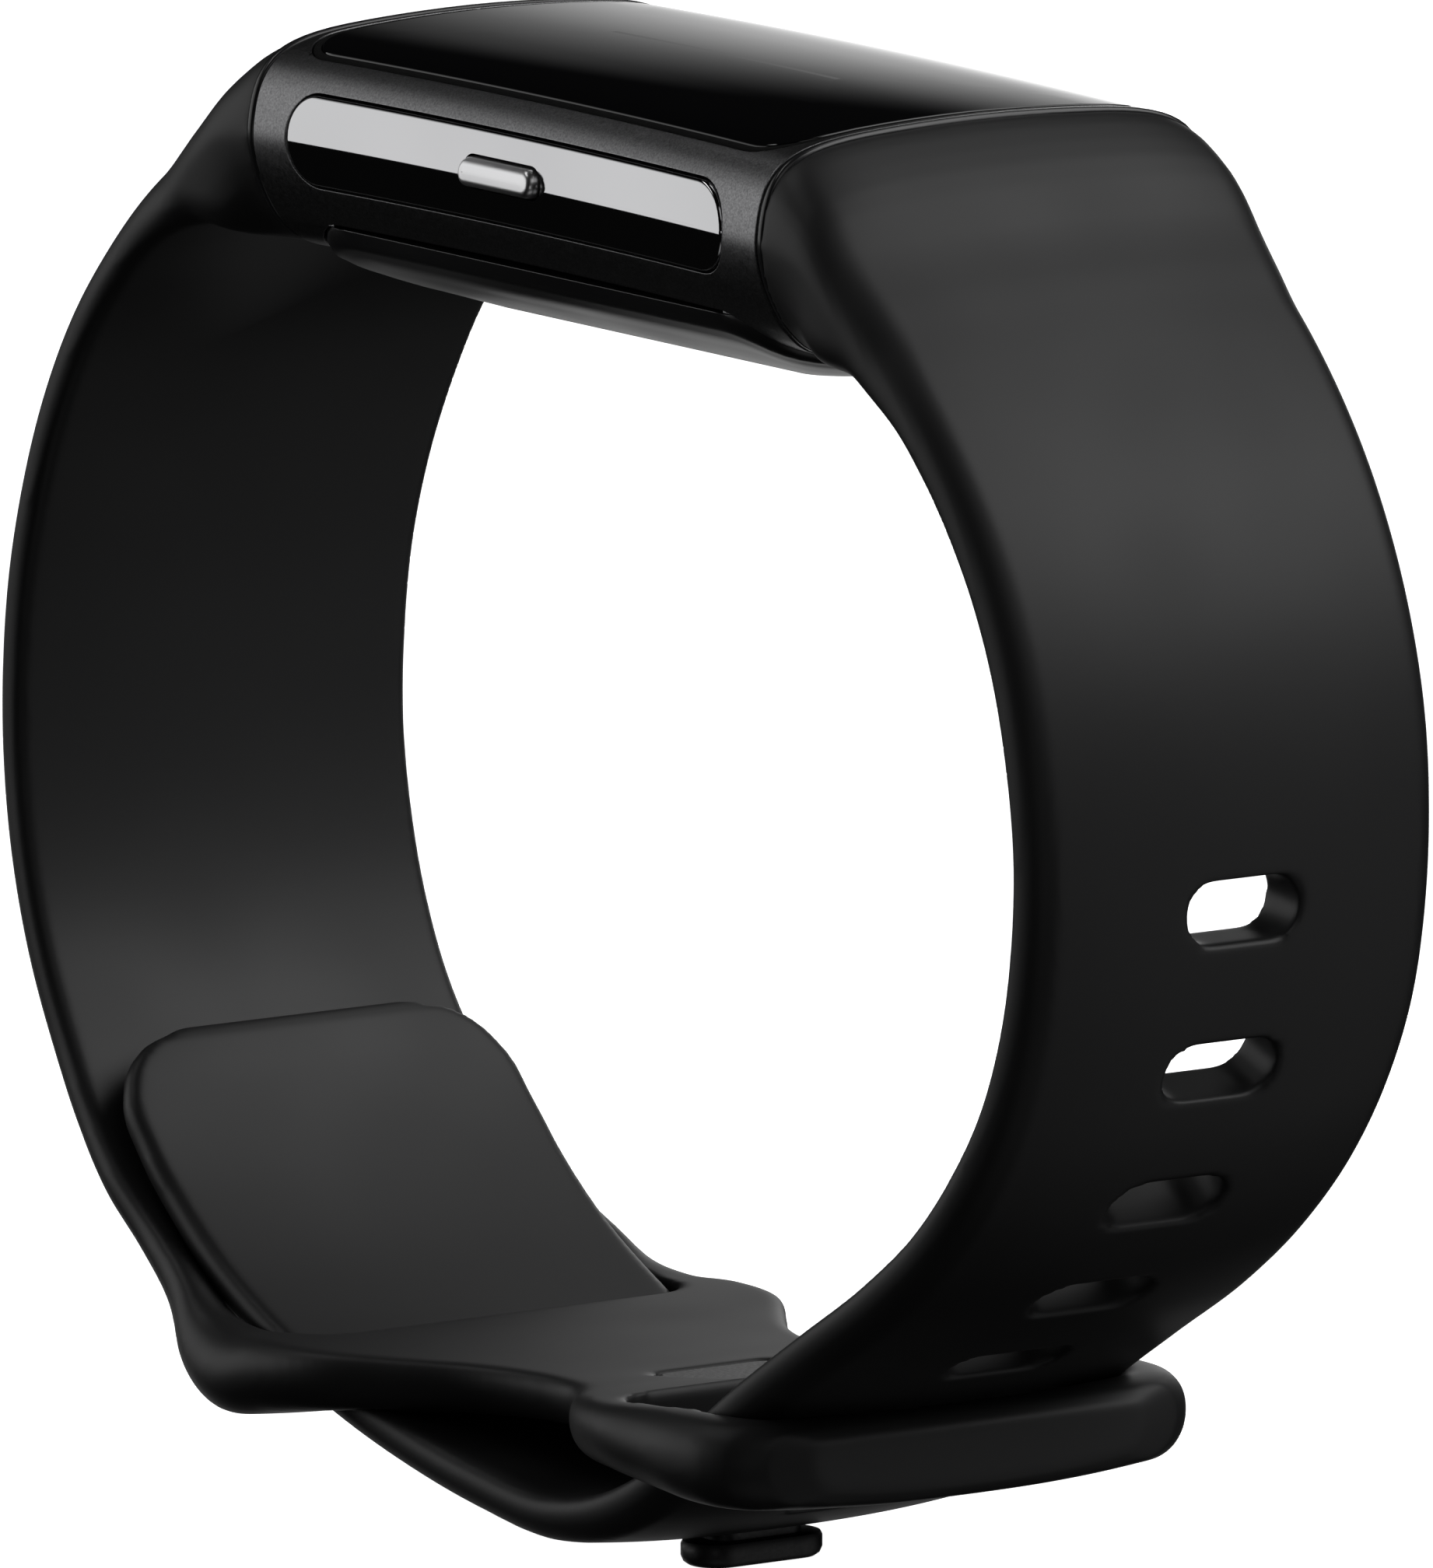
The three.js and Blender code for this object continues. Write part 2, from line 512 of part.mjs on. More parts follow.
// ---- the bands ----
// A rounded prism through a band, standing along the band's normal at (x, z).
function throughPrism(x, z, angleDeg, halfAlong, halfAcross, corner, depth) {
  const options = { depth, bevelEnabled: false, curveSegments: 3 };
  const geometry = new THREE.ExtrudeGeometry(roundedRect(halfAlong, halfAcross, corner), options);
  geometry.translate(0, 0, -depth / 2);
  geometry.rotateY(THREE.MathUtils.degToRad(90 - angleDeg));
  geometry.translate(x, 0, z);
  return solid(geometry);
}

// Points along a band's middle line, and the place on it a given length from its start.
function pathOf(stations) {
  const points = stations.map(([x, z]) => new THREE.Vector3(x, 0, z));
  return new THREE.CatmullRomCurve3(points, false, 'centripetal');
}

function slotPrisms() {
  const path = pathOf(SLOTTED_STATIONS);
  const total = path.getLength();
  const steps = 600;
  let pegAt = 0;
  for (let i = 0; i <= steps; i += 1) {
    const p = path.getPointAt(i / steps);
    if (p.z < -20 && p.x > PEG.x) {
      pegAt = i / steps;
    }
  }
  const slots = [];
  for (let k = -1; k <= 7; k += 1) {
    const u = pegAt - (k * PEG.slotPitch) / total;
    const p = path.getPointAt(u);
    const t = path.getTangentAt(u);
    const angle = THREE.MathUtils.radToDeg(Math.atan2(t.z, t.x)) + 90;
    slots.push(throughPrism(p.x, p.z, angle, 1.35, 2.85, 1.34, 4));
  }
  return slots;
}

function slottedStrap() {
  return cut(bandSolid(SLOTTED_STATIONS), connectorRoom(1), ...slotPrisms());
}

function loopStrap() {
  const crossing = bandSolid(SLOTTED_STATIONS.slice(15), BAND_GAP);
  return cut(
    bandSolid(LOOP_STATIONS),
    connectorRoom(-1),
    throughPrism(-21.5, -22.4, 238, 4.5, 10.45, 2.5, 16),
    prism(3.9, 10.3, 2.5, -30, -15, 9.6, 0),
    crossing,
    prism(3.1, 3.2, 0.9, -22.9, -20, PEG.x, PEG.y),
    prism(1.05, 2.4, 1.0, -30, -20, PEG.x, PEG.y),
  );
}

function pegSolid() {
  return join(
    prism(3.0, 3.1, 0.8, -22.75, -22.15, PEG.x, PEG.y),
    prism(0.95, 2.3, 0.9, -29.0, -22.7, PEG.x, PEG.y),
    prism(1.5, 3.3, 1.45, -29.65, -28.9, PEG.x, PEG.y),
    prism(1.25, 3.05, 1.2, -29.95, -29.6, PEG.x, PEG.y),
  );
}

function buildBands() {
  add('slotted_strap', geometryOf(slottedStrap()), 'silicone');
  add('loop_strap', geometryOf(loopStrap()), 'silicone');
  add('peg', geometryOf(pegSolid()), 'plastic');
}

buildCase();
buildInside();
buildMotor();
buildConnectors();
buildBands();

export default tracker;
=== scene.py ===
"""Looks for a wrist fitness tracker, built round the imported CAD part.

Smooth moulded bands, a blasted metal case, gloss glass and polished panels, then a small studio.
Shapes are worked out in millimetres, in the part's own frame, and scaled when a mesh is kept.
"""
import json
import math

import bpy
import numpy as np
from mathutils import Matrix, Vector
from mathutils.kdtree import KDTree


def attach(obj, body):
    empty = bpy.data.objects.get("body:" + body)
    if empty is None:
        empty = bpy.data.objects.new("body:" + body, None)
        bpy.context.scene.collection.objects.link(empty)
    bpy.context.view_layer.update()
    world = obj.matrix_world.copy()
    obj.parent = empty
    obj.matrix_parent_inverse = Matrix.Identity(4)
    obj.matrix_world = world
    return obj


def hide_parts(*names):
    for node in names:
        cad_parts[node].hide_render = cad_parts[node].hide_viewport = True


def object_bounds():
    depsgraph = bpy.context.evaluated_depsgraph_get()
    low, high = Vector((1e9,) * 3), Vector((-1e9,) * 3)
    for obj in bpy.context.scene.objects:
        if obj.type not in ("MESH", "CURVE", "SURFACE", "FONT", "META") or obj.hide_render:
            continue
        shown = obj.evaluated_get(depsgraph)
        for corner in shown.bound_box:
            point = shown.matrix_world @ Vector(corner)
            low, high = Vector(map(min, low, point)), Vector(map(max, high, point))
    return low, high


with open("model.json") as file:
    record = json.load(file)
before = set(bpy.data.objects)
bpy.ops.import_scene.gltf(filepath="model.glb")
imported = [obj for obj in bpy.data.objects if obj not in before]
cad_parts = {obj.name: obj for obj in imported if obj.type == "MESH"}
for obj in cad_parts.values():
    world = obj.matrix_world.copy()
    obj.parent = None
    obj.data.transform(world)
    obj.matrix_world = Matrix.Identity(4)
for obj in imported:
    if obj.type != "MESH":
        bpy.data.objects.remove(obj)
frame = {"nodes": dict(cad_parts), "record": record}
cad_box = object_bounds()

MM = 0.001
ROOT = "tracker"

# ---- driving dimensions, in millimetres ----
CASE_END = 18.25
CASE_HALF = 11.4
GLASS = {"u": 17.5, "v": 9.5, "corner": 2.3, "bottom": 31.9}
GASKET_WIDTH = 0.34
PANEL = {"u": 15.8, "low": 27.45, "high": 31.3, "corner": 1.9, "inner": 9.7}
KEY = {"u": 2.7, "v": 0.62, "z": 29.5, "face": 11.95, "depth": 1.75}
KEY_STEM = {"u": 2.15, "v": 0.4, "corner": 0.38, "out": -10.25, "in": -8.6}
KEY_TILT = 0.12                  # the key's face leans back by this much per millimetre of height
COVER = {"u": 17.6, "v": 10.1, "corner": 4.2, "rim": 25.6, "bottom": 22.1}
PANEL_RADIUS = 9.0
WINDOW = {"u": 6.0, "v": 3.0, "corner": 1.5, "top": 23.2}
CONTACT = {"x": 10.6, "y": 1.4, "radius": 0.75}
CASE_BEVEL = 0.06
CAVITY = {"u": 14.5, "v": 8.9, "low": 25.5, "ledge": 30.8, "high": 31.3}
BELOW_CASE = 20.0                # cutting tools start here, and end above the case
ABOVE_CASE = 36.0
ARCH_RISE = 0.2                  # the case bows up by this much at its middle
ARCH_RADIUS = 700.0
SEAM_START = 18.35
SEAM_END = 18.75
RIM_PROFILE = [                  # x and inset of the connector's rim, from the case outwards
    (CASE_END + 0.01, 0.6), (SEAM_START - 0.03, 0.6), (SEAM_START - 0.02, 0.2), (SEAM_START, 0.07),
    (SEAM_START + 0.06, 0.0), (SEAM_END - 0.06, 0.0), (SEAM_END, 0.07), (SEAM_END + 0.05, 0.25),
]
PEG = {"x": 1.9, "pitch": 6.85}
PEG_ROOM = {"u": 3.1, "v": 3.2, "corner": 0.9, "low": -22.9}
SHANK_HOLE = {"u": 1.05, "v": 2.4, "corner": 1.0}
CLASP_TOP = -20                  # heights that cutting tools reach through the clasp
CLASP_LOW = -30
SLOT = {"along": 1.35, "across": 2.85, "corner": 1.34, "depth": 4}
SLOTS_PAST_PEG = 1               # towards the band's rounded end
SLOTS_BEFORE_PEG = 7
PATH_STEPS = 1200
TAIL_OPENING = {"x": -20.7, "z": -22.9, "angle": 238, "along": 3.6, "across": 10.2}
END_OPENING = {"x": 9.6, "u": 3.9, "v": 10.3}
OPENING_CORNER = 2.5
BAND_GAP = 0.15
BUTTON_POCKET = {"x": 20.15, "u": 0.97, "v": 2.72, "low": 20.0, "high": 26.3}

# Half of the case's section, [y, z], from the crown of the glass to the middle of the bottom.
CASE_HALF_OUTLINE = [
    (0, 33.7), (4.5, 33.57), (7.9, 33.25), (9.9, 32.6), (10.95, 31.5), (CASE_HALF, 29.9),
    (11.37, 28.5), (10.85, 26.9), (9.85, 25.35), (8.2, 24.3), (4.4, 23.75), (0, 23.65),
]
CASE_MIDDLE_Z = 28.68
CASE_HEIGHT = 10.05
LUG_STATIONS = 3                 # over these the case's section turns into the band's
LUG_X = 18.9
CROSSING = 15                    # the slotted band meets the loop band after this station

# Band stations: x, z, angle of the outward normal in degrees, thickness, half width.
SLOTTED_STATIONS = [
    (18.9, 28.6, 90, 9.85, 11.4), (20.8, 28.0, 83, 8.3, 11.4), (22.4, 26.9, 71, 5.8, 11.3),
    (24.7, 25.75, 58, 3.9, 11.1), (27.1, 24.1, 49, 2.9, 10.9), (29.8, 21.4, 42, 2.6, 10.75),
    (32.4, 17.8, 31, 2.6, 10.6), (34.3, 13.9, 20, 2.6, 10.5), (35.45, 9.85, 11, 2.6, 10.45),
    (35.9, 5.8, 2, 2.6, 10.35), (35.7, 1.8, -7, 2.6, 10.3), (34.85, -2.2, -16, 2.6, 10.25),
    (33.15, -6.0, -27, 2.6, 10.15), (30.8, -9.3, -39, 2.6, 10.1), (27.95, -12.2, -48, 2.6, 10.0),
    (24.2, -15.0, -55, 2.6, 10.0), (19.35, -17.9, -59, 2.5, 10.0), (14.6, -20.8, -58, 2.4, 10.0),
    (10.6, -23.6, -56, 2.4, 10.0), (7.2, -25.8, -61, 2.4, 10.0), (4.2, -27.0, -74, 2.4, 10.0),
    (0.5, -27.6, -90, 2.4, 10.0), (-4.7, -27.1, -99, 2.4, 10.0), (-10.0, -26.1, -103, 2.4, 10.0),
    (-15.2, -24.7, -109, 2.4, 10.0), (-20.0, -22.8, -117, 2.4, 10.1), (-23.6, -20.8, -124, 2.3, 10.1),
    (-26.5, -18.6, -129, 2.2, 10.1), (-29.0, -16.2, -135, 2.1, 10.1), (-30.75, -14.15, -141, 2.0, 9.75),
    (-31.85, -12.6, -146, 1.8, 8.3), (-32.2, -12.0, -148, 1.5, 7.0), (-32.33, -11.75, -148, 1.1, 5.8),
]
LOOP_STATIONS = [
    (-18.9, 28.6, 90, 9.85, 11.4), (-20.6, 28.0, 97, 8.4, 11.4), (-22.5, 27.1, 109, 6.0, 11.3),
    (-24.9, 26.2, 121, 3.9, 11.1), (-27.8, 24.5, 129, 2.9, 10.9), (-30.7, 21.95, 138, 2.6, 10.75),
    (-33.25, 19.1, 147, 2.6, 10.6), (-35.45, 15.6, 155, 2.6, 10.5), (-37.35, 11.4, 162, 2.6, 10.35),
    (-38.55, 7.3, 170, 2.6, 10.25), (-39.05, 3.5, 177, 2.6, 10.2), (-39.1, -0.4, 183, 2.6, 10.15),
    (-38.5, -4.55, 192, 2.6, 10.15), (-37.25, -8.6, 202, 2.6, 10.15), (-35.3, -12.4, 212, 2.6, 10.2),
    (-33.2, -15.2, 220, 2.5, 10.45), (-30.6, -17.7, 226, 2.5, 10.8), (-27.9, -19.7, 228, 2.6, 10.9),
    (-25.0, -21.6, 231, 3.0, 11.4), (-22.7, -23.35, 240, 3.8, 12.3), (-20.0, -24.15, 258, 4.1, 13.0),
    (-16.5, -23.85, 271, 3.6, 13.1), (-13.0, -23.6, 270, 3.1, 12.2), (-10.0, -23.5, 270, 2.8, 10.3),
    (-7.0, -23.45, 270, 2.7, 8.4), (-4.0, -23.4, 270, 2.6, 7.4), (-1.0, -23.4, 270, 2.6, 7.3),
    (1.6, -23.2, 270, 2.8, 8.9), (4.2, -23.05, 270, 3.2, 11.0), (7.5, -22.9, 270, 3.4, 12.2),
    (11.0, -22.85, 270, 3.9, 12.5), (14.0, -22.85, 270, 4.2, 12.6), (15.8, -22.85, 270, 4.2, 12.3),
    (17.1, -22.85, 270, 4.0, 11.5), (18.0, -22.85, 270, 3.4, 10.1), (18.4, -22.85, 270, 2.4, 8.4),
]


# ---- curves ----
def smoothstep(t):
    t = min(1.0, max(0.0, t))
    return t * t * (3 - 2 * t)


def through(rows, count):
    """Rows of numbers, smoothly filled in to count rows by their spacing in the first two."""
    rows = np.array(rows, float)
    steps = np.linalg.norm(np.diff(rows[:, :2], axis=0), axis=1)
    at = np.concatenate([[0], np.cumsum(steps)])
    slope = np.gradient(rows, at, axis=0)
    out = []
    for s in np.linspace(0, at[-1], count):
        i = min(len(at) - 2, max(0, int(np.searchsorted(at, s, side="right")) - 1))
        span = at[i + 1] - at[i]
        t = (s - at[i]) / span
        start = (2 * t ** 3 - 3 * t ** 2 + 1) * rows[i] + (t ** 3 - 2 * t ** 2 + t) * span * slope[i]
        end = (3 * t ** 2 - 2 * t ** 3) * rows[i + 1] + (t ** 3 - t ** 2) * span * slope[i + 1]
        out.append(start + end)
    return np.array(out)


def mirror_half(half):
    """A half outline with y >= 0 becomes a whole one: down the -Y side, back up the +Y side."""
    down = [(-y, z) for y, z in half]
    up = [(y, z) for y, z in half[-2:0:-1]]
    return down + up


HALF_POINTS = 45
FINE_POINTS = 3301
RECT_ARC = 10                    # steps round a rounded rectangle's corner, and along its sides
RECT_ALONG_U = 12
RECT_ALONG_V = 10
RECT_POINTS = 4 * (RECT_ARC + 1) + 2 * (RECT_ALONG_U - 1) + 2 * (RECT_ALONG_V - 1)
RECT_MIDDLE = RECT_POINTS - RECT_ALONG_V // 2


def case_half(count):
    """The case's half section, by evenly shared steps through its points."""
    whole = [(-y, z) for y, z in CASE_HALF_OUTLINE[2:0:-1]]
    whole += CASE_HALF_OUTLINE
    whole += [(-y, z) for y, z in CASE_HALF_OUTLINE[-2:-4:-1]]
    pts = np.array(whole, float)
    out = []
    last = len(CASE_HALF_OUTLINE) - 1
    for u in np.linspace(0, last, count):
        i = min(last - 1, int(u))
        t = u - i
        p0, p1, p2, p3 = pts[i + 1], pts[i + 2], pts[i + 3], pts[i + 4]
        out.append(0.5 * (2 * p1 + (p2 - p0) * t + (2 * p0 - 5 * p1 + 4 * p2 - p3) * t * t
                          + (3 * p1 - p0 - 3 * p2 + p3) * t ** 3))
    return [(float(p[0]), float(p[1])) for p in out]


CASE_OUTLINE = mirror_half(case_half(HALF_POINTS))
SECTION = np.array(case_half(FINE_POINTS))
WIDEST = int(np.argmax(SECTION[:, 0]))


def crown_height(y):
    """Height of the case's upper surface at a distance y from its middle."""
    return float(np.interp(abs(y), SECTION[:WIDEST + 1, 0], SECTION[:WIDEST + 1, 1]))


def belly_height(y):
    """Height of the case's lower surface at a distance y from its middle."""
    return float(np.interp(abs(y), SECTION[:WIDEST - 1:-1, 0], SECTION[:WIDEST - 1:-1, 1]))


def side_reach(z):
    """How far out the case's side is at height z."""
    return float(np.interp(z, SECTION[::-1, 1], SECTION[::-1, 0]))


def section_normals():
    """The outward direction of the case's surface at each point of SECTION."""
    along = np.gradient(SECTION, axis=0)
    along /= np.linalg.norm(along, axis=1)[:, None]
    return np.stack([-along[:, 1], along[:, 0]], axis=1)


SECTION_NORMALS = section_normals()


def section_tree():
    tree = KDTree(len(SECTION))
    for i, (y, z) in enumerate(SECTION):
        tree.insert((y, z, 0), i)
    tree.balance()
    return tree


SECTION_TREE = section_tree()


def rounded_rect(half_u, half_v, corner):
    """RECT_POINTS points round a rounded rectangle, always in the same order."""
    r = max(0.01, min(corner, half_u - 0.01, half_v - 0.01))
    corners = [(half_u - r, half_v - r, 0), (-half_u + r, half_v - r, 90),
               (-half_u + r, -half_v + r, 180), (half_u - r, -half_v + r, 270)]
    out = []
    for k, (cu, cv, start) in enumerate(corners):
        for i in range(RECT_ARC + 1):
            a = math.radians(start + 90 * i / RECT_ARC)
            out.append((cu + r * math.cos(a), cv + r * math.sin(a)))
        nu, nv, begin = corners[(k + 1) % 4]
        a = math.radians(begin)
        u1, v1 = nu + r * math.cos(a), nv + r * math.sin(a)
        u0, v0 = out[-1]
        steps = RECT_ALONG_U if k % 2 == 0 else RECT_ALONG_V
        for i in range(1, steps):
            out.append((u0 + (u1 - u0) * i / steps, v0 + (v1 - v0) * i / steps))
    return out


# ---- meshes ----
def new_object(name, verts, faces):
    mesh = bpy.data.meshes.new(name)
    mesh.from_pydata([tuple(v) for v in verts], [], faces)
    mesh.update()
    obj = bpy.data.objects.new(name, mesh)
    bpy.context.scene.collection.objects.link(obj)
    return obj


def strip_cap(start):
    """Fills a rounded_rect ring, from its point start, with strips across its second direction."""
    half = RECT_POINTS // 2
    pairs = [((RECT_MIDDLE - k) % RECT_POINTS, (RECT_MIDDLE + k) % RECT_POINTS) for k in range(half + 1)]
    faces = []
    for (a, b), (c, d) in zip(pairs, pairs[1:]):
        faces.append(tuple(dict.fromkeys((start + b, start + a, start + c, start + d))))
    return faces


def loft(name, rings, ring_closed=False, strips=False):
    """A skin over rings of points. Its ends are capped, or joined when ring_closed is set."""
    count = len(rings[0])
    verts = [p for ring in rings for p in ring]
    faces = []
    last = len(rings) if ring_closed else len(rings) - 1
    for r in range(last):
        nxt = (r + 1) % len(rings)
        for i in range(count):
            j = (i + 1) % count
            faces.append((r * count + i, r * count + j, nxt * count + j, nxt * count + i))
    if not ring_closed:
        faces.append(tuple(range(count))[::-1])
    if strips:
        faces.extend(strip_cap((len(rings) - 1) * count))
    elif not ring_closed:
        faces.append(tuple((len(rings) - 1) * count + i for i in range(count)))
    obj = new_object(name, verts, faces)
    fix_normals(obj)
    return obj


def fix_normals(obj):
    """Turns a closed mesh's faces outwards."""
    mesh = obj.data
    mesh.calc_loop_triangles()
    total = 0.0
    for tri in mesh.loop_triangles:
        a, b, c = (mesh.vertices[i].co for i in tri.vertices)
        total += a.dot(b.cross(c))
    if total < 0:
        mesh.flip_normals()


def plate(name, outline, profile, place):
    """A plate over a rounded rectangle. profile rows are (inset, depth); place makes a point."""
    rings = []
    for inset, depth in profile:
        ring = rounded_rect(outline["u"] - inset, outline["v"] - inset, outline["corner"] - inset)
        rings.append([place(u, v, depth) for u, v in ring])
    return loft(name, rings, strips=True)


def prism(name, half_u, half_v, corner, low, high, place):
    """A straight rounded block between two depths; place makes a point."""
    ring = rounded_rect(half_u, half_v, corner)
    return loft(name, [[place(u, v, w) for u, v in ring] for w in (low, high)])


def applied(obj):
    """Bakes the modifiers of obj into its mesh."""
    bpy.context.view_layer.update()
    graph = bpy.context.evaluated_depsgraph_get()
    mesh = bpy.data.meshes.new_from_object(obj.evaluated_get(graph))
    old = obj.data
    obj.modifiers.clear()
    obj.data = mesh
    bpy.data.meshes.remove(old)
    return obj


def cut(obj, *tools):
    """Takes the tools away from obj, and deletes them."""
    for tool in tools:
        modifier = obj.modifiers.new("cut", "BOOLEAN")
        modifier.operation = "DIFFERENCE"
        modifier.solver = "EXACT"
        modifier.object = tool
    applied(obj)
    for tool in tools:
        bpy.data.objects.remove(tool)
    return obj


def softened(obj, voxel, rounds):
    """Remeshes a solid finely and rounds its edges, as a mould does."""
    remesh = obj.modifiers.new("remesh", "REMESH")
    remesh.mode = "VOXEL"
    remesh.voxel_size = voxel
    smooth = obj.modifiers.new("smooth", "SMOOTH")
    smooth.factor = 0.5
    smooth.iterations = rounds
    return applied(obj)


def bevelled(obj, width, segments=2):
    bevel = obj.modifiers.new("bevel", "BEVEL")
    bevel.width = width
    bevel.segments = segments
    bevel.limit_method = "ANGLE"
    bevel.angle_limit = math.radians(35)
    bevel.use_clamp_overlap = False
    return applied(obj)


ON_SURFACE = 0.02                # a point this near the case's section takes its exact shading,
NEAR_FACING = 0.97               # on a face that looks nearly the same way


def arched(obj):
    """Bows a piece of the case and gives it the exact shading of the case's curved surface."""
    mesh = obj.data
    spots = np.array([v.co[:] for v in mesh.vertices])
    found = [SECTION_TREE.find((abs(y), z, 0)) for x, y, z in spots]
    nearest = np.array([index for co, index, gap in found])
    on_surface = np.array([gap < ON_SURFACE for co, index, gap in found])
    tilt = spots[:, 0] / ARCH_RADIUS
    exact = np.stack([
        tilt * SECTION_NORMALS[nearest, 1],
        SECTION_NORMALS[nearest, 0] * np.where(spots[:, 1] < 0, -1, 1),
        SECTION_NORMALS[nearest, 1],
    ], axis=1)
    normals = [tuple(n.vector) for n in mesh.corner_normals]
    for face in mesh.polygons:
        for corner in face.loop_indices:
            at = mesh.loops[corner].vertex_index
            if on_surface[at] and np.dot(exact[at], face.normal) > NEAR_FACING:
                normals[corner] = tuple(exact[at])
    mesh.normals_split_custom_set(normals)
    for vertex in mesh.vertices:
        vertex.co.z += ARCH_RISE - vertex.co.x ** 2 / (2 * ARCH_RADIUS)
    return obj


def kept(obj, material, slot, *nodes, body=ROOT, sharp=180, arch=False):
    """A finished piece: scaled to metres, shaded, given its material and put on its body."""
    obj.data.shade_smooth()
    if sharp < 180:
        obj.data.set_sharp_from_angle(angle=math.radians(sharp))
    if arch:
        arched(obj)
    obj.data.transform(Matrix.Scale(MM, 4))
    obj.data.materials.clear()
    obj.data.materials.append(material)
    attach(obj, body)
    if nodes:
        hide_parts(*nodes)
    return obj


# ---- materials ----
def shader(name, color, roughness, metallic=0.0, **sockets):
    material = bpy.data.materials.new(name)
    material.use_nodes = True
    nodes = material.node_tree.nodes
    bsdf = nodes["Principled BSDF"]
    bsdf.inputs["Base Color"].default_value = (*color, 1)
    bsdf.inputs["Roughness"].default_value = roughness
    bsdf.inputs["Metallic"].default_value = metallic
    for key, value in sockets.items():
        bsdf.inputs[key.replace("_", " ")].default_value = value
    return material


def add_noise(material, per_mm, detail=2.0, stretch=(1, 1, 1)):
    """A noise texture on the object's own coordinates, with so many grains to a millimetre."""
    tree = material.node_tree
    coords = tree.nodes.new("ShaderNodeTexCoord")
    mapping = tree.nodes.new("ShaderNodeMapping")
    mapping.inputs["Scale"].default_value = stretch
    noise = tree.nodes.new("ShaderNodeTexNoise")
    noise.inputs["Scale"].default_value = per_mm / MM
    noise.inputs["Detail"].default_value = detail
    tree.links.new(coords.outputs["Object"], mapping.inputs["Vector"])
    tree.links.new(mapping.outputs["Vector"], noise.inputs["Vector"])
    return noise.outputs["Fac"]


def ramp_color(material, fac, dark, light, low=0.35, high=0.65):
    tree = material.node_tree
    ramp = tree.nodes.new("ShaderNodeValToRGB")
    ramp.color_ramp.elements[0].position = low
    ramp.color_ramp.elements[0].color = (*dark, 1)
    ramp.color_ramp.elements[1].position = high
    ramp.color_ramp.elements[1].color = (*light, 1)
    tree.links.new(fac, ramp.inputs["Fac"])
    bsdf = tree.nodes["Principled BSDF"]
    tree.links.new(ramp.outputs["Color"], bsdf.inputs["Base Color"])


def ramp_roughness(material, fac, low, high):
    tree = material.node_tree
    spread = tree.nodes.new("ShaderNodeMapRange")
    spread.inputs["From Min"].default_value = 0.3
    spread.inputs["From Max"].default_value = 0.7
    spread.inputs["To Min"].default_value = low
    spread.inputs["To Max"].default_value = high
    tree.links.new(fac, spread.inputs["Value"])
    bsdf = tree.nodes["Principled BSDF"]
    tree.links.new(spread.outputs["Result"], bsdf.inputs["Roughness"])


def add_bump(material, fac, strength, depth_mm):
    tree = material.node_tree
    bump = tree.nodes.new("ShaderNodeBump")
    bump.inputs["Strength"].default_value = strength
    bump.inputs["Distance"].default_value = depth_mm * MM
    tree.links.new(fac, bump.inputs["Height"])
    bsdf = tree.nodes["Principled BSDF"]
    tree.links.new(bump.outputs["Normal"], bsdf.inputs["Normal"])


def silicone():
    """Moulded silicone: satin black with a very fine matte grain and slow changes in its sheen."""
    m = shader("silicone", (0.012, 0.012, 0.0125), 0.5, Specular_IOR_Level=0.45)
    grain = add_noise(m, 9.0, detail=3.0)
    slow = add_noise(m, 0.12, detail=1.0)
    ramp_color(m, slow, (0.0105, 0.0105, 0.011), (0.0135, 0.0135, 0.014))
    ramp_roughness(m, slow, 0.47, 0.53)
    add_bump(m, grain, 0.12, 0.01)
    return m


def blasted_metal():
    """Bead-blasted dark aluminium with a sparkle of fine grain."""
    m = shader("case_metal", (0.16, 0.16, 0.163), 0.34, metallic=1.0)
    grain = add_noise(m, 11.0, detail=4.0)
    ramp_color(m, grain, (0.13, 0.13, 0.133), (0.27, 0.27, 0.275), 0.3, 0.75)
    ramp_roughness(m, add_noise(m, 5.0), 0.3, 0.38)
    add_bump(m, grain, 0.25, 0.01)
    return m


def polished(name, color, roughness, metallic=0.0, **sockets):
    """A polished surface, with a very slow change in its gloss so it isn't dead even."""
    m = shader(name, color, roughness, metallic, **sockets)
    slow = add_noise(m, 0.08, detail=1.0)
    dark = tuple(0.94 * c for c in color)
    ramp_color(m, slow, dark, color)
    ramp_roughness(m, slow, roughness * 0.8, roughness * 1.2)
    return m


def grained(name, dark, light, per_mm, rough, bump, metallic=0.0, stretch=(1, 1, 1), **sockets):
    """Any plainer material: two colours of grain, a range of roughness and a fine relief."""
    m = shader(name, light, rough, metallic, **sockets)
    grain = add_noise(m, per_mm, detail=3.0, stretch=stretch)
    ramp_color(m, grain, dark, light)
    ramp_roughness(m, grain, rough * 0.85, rough * 1.15)
    add_bump(m, grain, bump, 0.01)
    return m


SILICONE = silicone()
CASE_METAL = blasted_metal()
GLASS_BLACK = polished("display_glass", (0.0035, 0.0035, 0.004), 0.03, Specular_IOR_Level=0.5)
MIRROR = polished("side_mirror", (0.56, 0.56, 0.57), 0.03, metallic=1.0)
KEY_METAL = polished("key_metal", (0.8, 0.8, 0.81), 0.35, metallic=1.0)
GLOSS = polished("gloss_black", (0.012, 0.012, 0.013), 0.34, Specular_IOR_Level=1.0)
RIM = polished("connector_rim", (0.02, 0.02, 0.021), 0.22)
RUBBER = grained("rubber", (0.004, 0.004, 0.004), (0.008, 0.008, 0.008), 6.0, 0.8, 0.2,
                 Specular_IOR_Level=0.08)
PEG_PLASTIC = grained("peg_plastic", (0.011, 0.011, 0.0115), (0.014, 0.014, 0.0145), 6.0, 0.45, 0.08)
